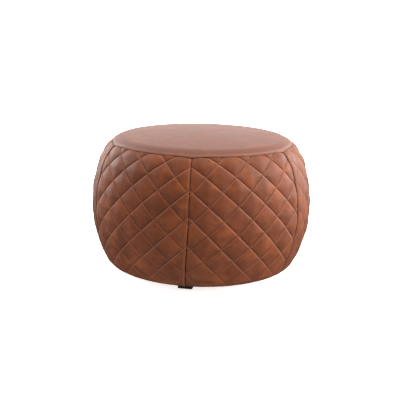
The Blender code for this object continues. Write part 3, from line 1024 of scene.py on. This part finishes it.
def dust_cloth(look):
    """The black cloth over the underside: slack in the middle and pulled at its staples."""
    low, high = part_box("dust_cover")
    rings, around = 56, 360
    inward = np.linspace(1.0, 0.015, rings)
    turn = np.linspace(0.0, math.tau, around, endpoint=False)
    part, angle = np.meshgrid(inward, turn, indexing="ij")
    scallop = 0.9 * MM * np.cos(angle * STAPLES) * smooth(0.9, 1.0, part)
    radius = part * (high.x - 1.0 * MM) + scallop
    flat = columns(radius * np.cos(angle), radius * np.sin(angle))
    slack = 1.0 - smooth(0.35, 0.85, part)
    pulls = np.cos(angle * STAPLES) * smooth(0.80, 0.97, part) * 0.15 * MM
    wrinkle = layered_noise(columns(np.cos(angle) * 3.0, np.sin(angle) * 3.0, part * 0.7), 0.25, 41)
    creases = 0.35 * MM * wrinkle * smooth(0.1, 0.4, part) * (1.0 - smooth(0.78, 0.88, part))
    z = high.z - 0.45 * MM - 1.8 * MM * slack - np.abs(creases) - pulls
    verts = columns(flat[..., 0], flat[..., 1], z).reshape(-1, 3)
    verts = np.vstack([verts, [[0.0, 0.0, high.z - 2.25 * MM]]])
    item = new_piece("dust_cloth", verts, disc_faces(len(verts), around), look, ["dust_cover"])
    thicken(item, 0.3 * MM)


def staples(steel):
    """The wire staples round the edge of the dust cloth, clear of the glides."""
    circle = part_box("dust_cover")[1].x - 6.5 * MM
    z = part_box("dust_cover")[0].z - 0.1 * MM
    half, wire, leg = 5.0 * MM, 0.45 * MM, 1.2 * MM
    path = [(-half, leg), (-half, 0.25 * MM), (-half + 0.5 * MM, 0.0)]
    path += [(half - 0.5 * MM, 0.0), (half, 0.25 * MM), (half, leg)]
    verts = []
    faces = []
    for number in range(STAPLES):
        angle = math.tau * (number + 0.5) / STAPLES + 0.05 * (float(hashed(np.array([[number]]), 3)[0]) - 0.5)
        from_glide = (angle - FRONT - GLIDE_TURN + math.pi / 4) % (math.pi / 2) - math.pi / 4
        if abs(from_glide) * circle < STAPLE_CLEARANCE:
            continue
        tilt = 0.25 * (float(hashed(np.array([[number]]), 7)[0]) - 0.5)
        out = Vector((math.cos(angle), math.sin(angle), 0.0))
        along = Vector((-out.y, out.x, 0.0))
        along.rotate(Matrix.Rotation(tilt, 3, "Z"))
        cross = Vector((0.0, 0.0, 1.0)).cross(along)
        base = len(verts)
        for x, rise in path:
            for k in range(6):
                turn = math.tau * k / 6
                place = out * circle + along * x + cross * (math.cos(turn) * wire)
                bulge = Vector((0.0, 0.0, z + rise + math.sin(turn) * wire * 0.6))
                verts.append(tuple(place + bulge))
        for ring in range(len(path) - 1):
            low = base + ring * 6
            faces += [(low + k, low + (k + 1) % 6, low + 6 + (k + 1) % 6, low + 6 + k) for k in range(6)]
        faces += [tuple(range(base, base + 6))[::-1], tuple(range(len(verts) - 6, len(verts)))]
    new_piece("dust_cloth_staples", verts, faces, steel)


def underside():
    steel = moulded("zinc_steel", rgb(150, 150, 152), 0.34, 1.0)
    plastic = moulded("black_plastic", rgb(26, 25, 25), 0.45)
    dust_cloth(non_woven("spun_cloth"))
    staples(steel)
    for number in range(1, 5):
        glide(number, plastic)
        screw(f"glide_screw_{number}", 4.0 * MM, 1.9 * MM, steel)
    for number in range(1, PANELS + 1):
        screw(f"post_screw_lower_{number}", 4.2 * MM, 2.2 * MM, steel)
        screw(f"post_screw_upper_{number}", 4.2 * MM, 2.2 * MM, steel)


# ---- the studio ----
def area_light(name, place, size, power):
    data = bpy.data.lights.new(name, "AREA")
    data.shape = "RECTANGLE"
    data.size, data.size_y = size
    data.energy = power
    lamp = bpy.data.objects.new(name, data)
    lamp.location = place
    lamp.rotation_mode = "QUATERNION"
    aim = Vector((0.0, 0.0, CAD_HIGH.z / 2))
    lamp.rotation_quaternion = (aim - Vector(place)).to_track_quat("-Z", "Y")
    lamp.visible_camera = False
    bpy.context.scene.collection.objects.link(lamp)


def sky():
    """A white band at the horizon, which is the background, between softer light from above and below."""
    world = bpy.data.worlds.new("studio")
    world.use_nodes = True
    tree = world.node_tree
    rise = tree.nodes.new("ShaderNodeSeparateXYZ")
    tree.links.new(tree.nodes.new("ShaderNodeTexCoord").outputs["Generated"], rise.inputs[0])
    parts = []
    bands = ((0.22, 0.45, HORIZON_LIGHT, SKY_LIGHT), (-0.03, -0.01, GROUND_LIGHT, 0.0))
    for low, high, start, end in bands:
        ramp = tree.nodes.new("ShaderNodeMapRange")
        tree.links.new(rise.outputs["Z"], ramp.inputs["Value"])
        for key, number in (("From Min", low), ("From Max", high), ("To Min", start), ("To Max", end)):
            ramp.inputs[key].default_value = number
        parts.append(ramp.outputs["Result"])
    above = tree.nodes.new("ShaderNodeMath")
    above.operation = "GREATER_THAN"
    above.inputs[1].default_value = -0.02
    tree.links.new(rise.outputs["Z"], above.inputs[0])
    upper = tree.nodes.new("ShaderNodeMath")
    upper.operation = "MULTIPLY_ADD"
    for value, socket in zip((parts[0], above.outputs[0], parts[1]), upper.inputs):
        tree.links.new(value, socket)
    back = tree.nodes["Background"]
    back.inputs["Color"].default_value = (1.0, 1.0, 1.0, 1.0)
    tree.links.new(upper.outputs[0], back.inputs["Strength"])
    bpy.context.scene.world = world
    world.cycles_visibility.glossy = False


def studio():
    sky()
    bpy.context.scene.view_settings.view_transform = "Standard"
    for name, place, size, power in LIGHTS:
        area_light(name, place, size, power)
    n = Nodes("floor_paint")
    tone = n.mix(n.noise(3.0, 2.0), rgb(249, 249, 249), rgb(252, 252, 252))
    n.link(tone, n.shader.inputs["Emission Color"])
    n.shader.inputs["Emission Strength"].default_value = FLOOR_GLOW
    paint = n.finish(tone, 0.9, n.bump(n.noise(200.0, 2.0), 0.0002, 0.1), specular=0.0)
    mesh = bpy.data.meshes.new("floor")
    reach = FLOOR_REACH
    corners = [(-reach, -reach, 0.0), (reach, -reach, 0.0), (reach, reach, 0.0), (-reach, reach, 0.0)]
    mesh.from_pydata(corners, [], [(0, 1, 2, 3)])
    mesh.materials.append(paint)
    floor = bpy.data.objects.new("floor", mesh)
    floor.visible_glossy = False
    floor.visible_diffuse = False
    bpy.context.scene.collection.objects.link(floor)


def camera():
    data = bpy.data.cameras.new("camera")
    data.sensor_width = 36.0
    data.lens = CAMERA_LENS
    data.clip_end = 2000.0
    azimuth = math.radians(CAMERA_AZIMUTH)
    elevation = math.radians(CAMERA_ELEVATION)
    right = Vector((math.cos(azimuth), math.sin(azimuth), 0.0))
    aim = right * CAMERA_AIM[0] + Vector((0.0, 0.0, CAMERA_AIM[1]))
    level = math.cos(elevation)
    back = Vector((math.sin(azimuth) * level, -math.cos(azimuth) * level, math.sin(elevation)))
    eye = bpy.data.objects.new("camera", data)
    eye.location = aim + back * CAMERA_DISTANCE
    eye.rotation_mode = "QUATERNION"
    roll = Matrix.Rotation(math.radians(CAMERA_ROLL), 3, "Z")
    eye.rotation_quaternion = ((-back).to_track_quat("-Z", "Y").to_matrix() @ roll).to_quaternion()
    bpy.context.scene.collection.objects.link(eye)
    bpy.context.scene.camera = eye


camera()
swelling = Swelling()
side_covers(swelling, leather("tan_leather", TAN, 1.0, 0.06, 0.14, 0.60))
# The top's leather is a darker copy of the side leather (0.72): painted shade, to offset the stronger light
# that falls on the top.
top_cover(leather("tan_leather_top", shade(TAN, 0.72), 0.45, 0.06, 0.25, 0.62))
quilted_pads(swelling, foam("cream_foam", rgb(226, 222, 208)))
quilting_stitches(swelling, sewing_thread("brown_thread"))
padding_layers(foam("yellow_foam", rgb(232, 214, 160)), foam("white_foam", rgb(238, 228, 196)),
               fibres("white_wadding", rgb(240, 240, 236)))
drum(
    wood("birch_ply", rgb(206, 176, 134), rgb(172, 134, 92), (1.0, 9.0, 9.0)),
    wood("brown_hardboard", rgb(142, 104, 72), rgb(104, 72, 48), (3.0, 3.0, 3.0), 60.0),
    wood("pine_post", rgb(214, 182, 132), rgb(186, 142, 92), (9.0, 9.0, 1.0)),
)
underside()
studio()
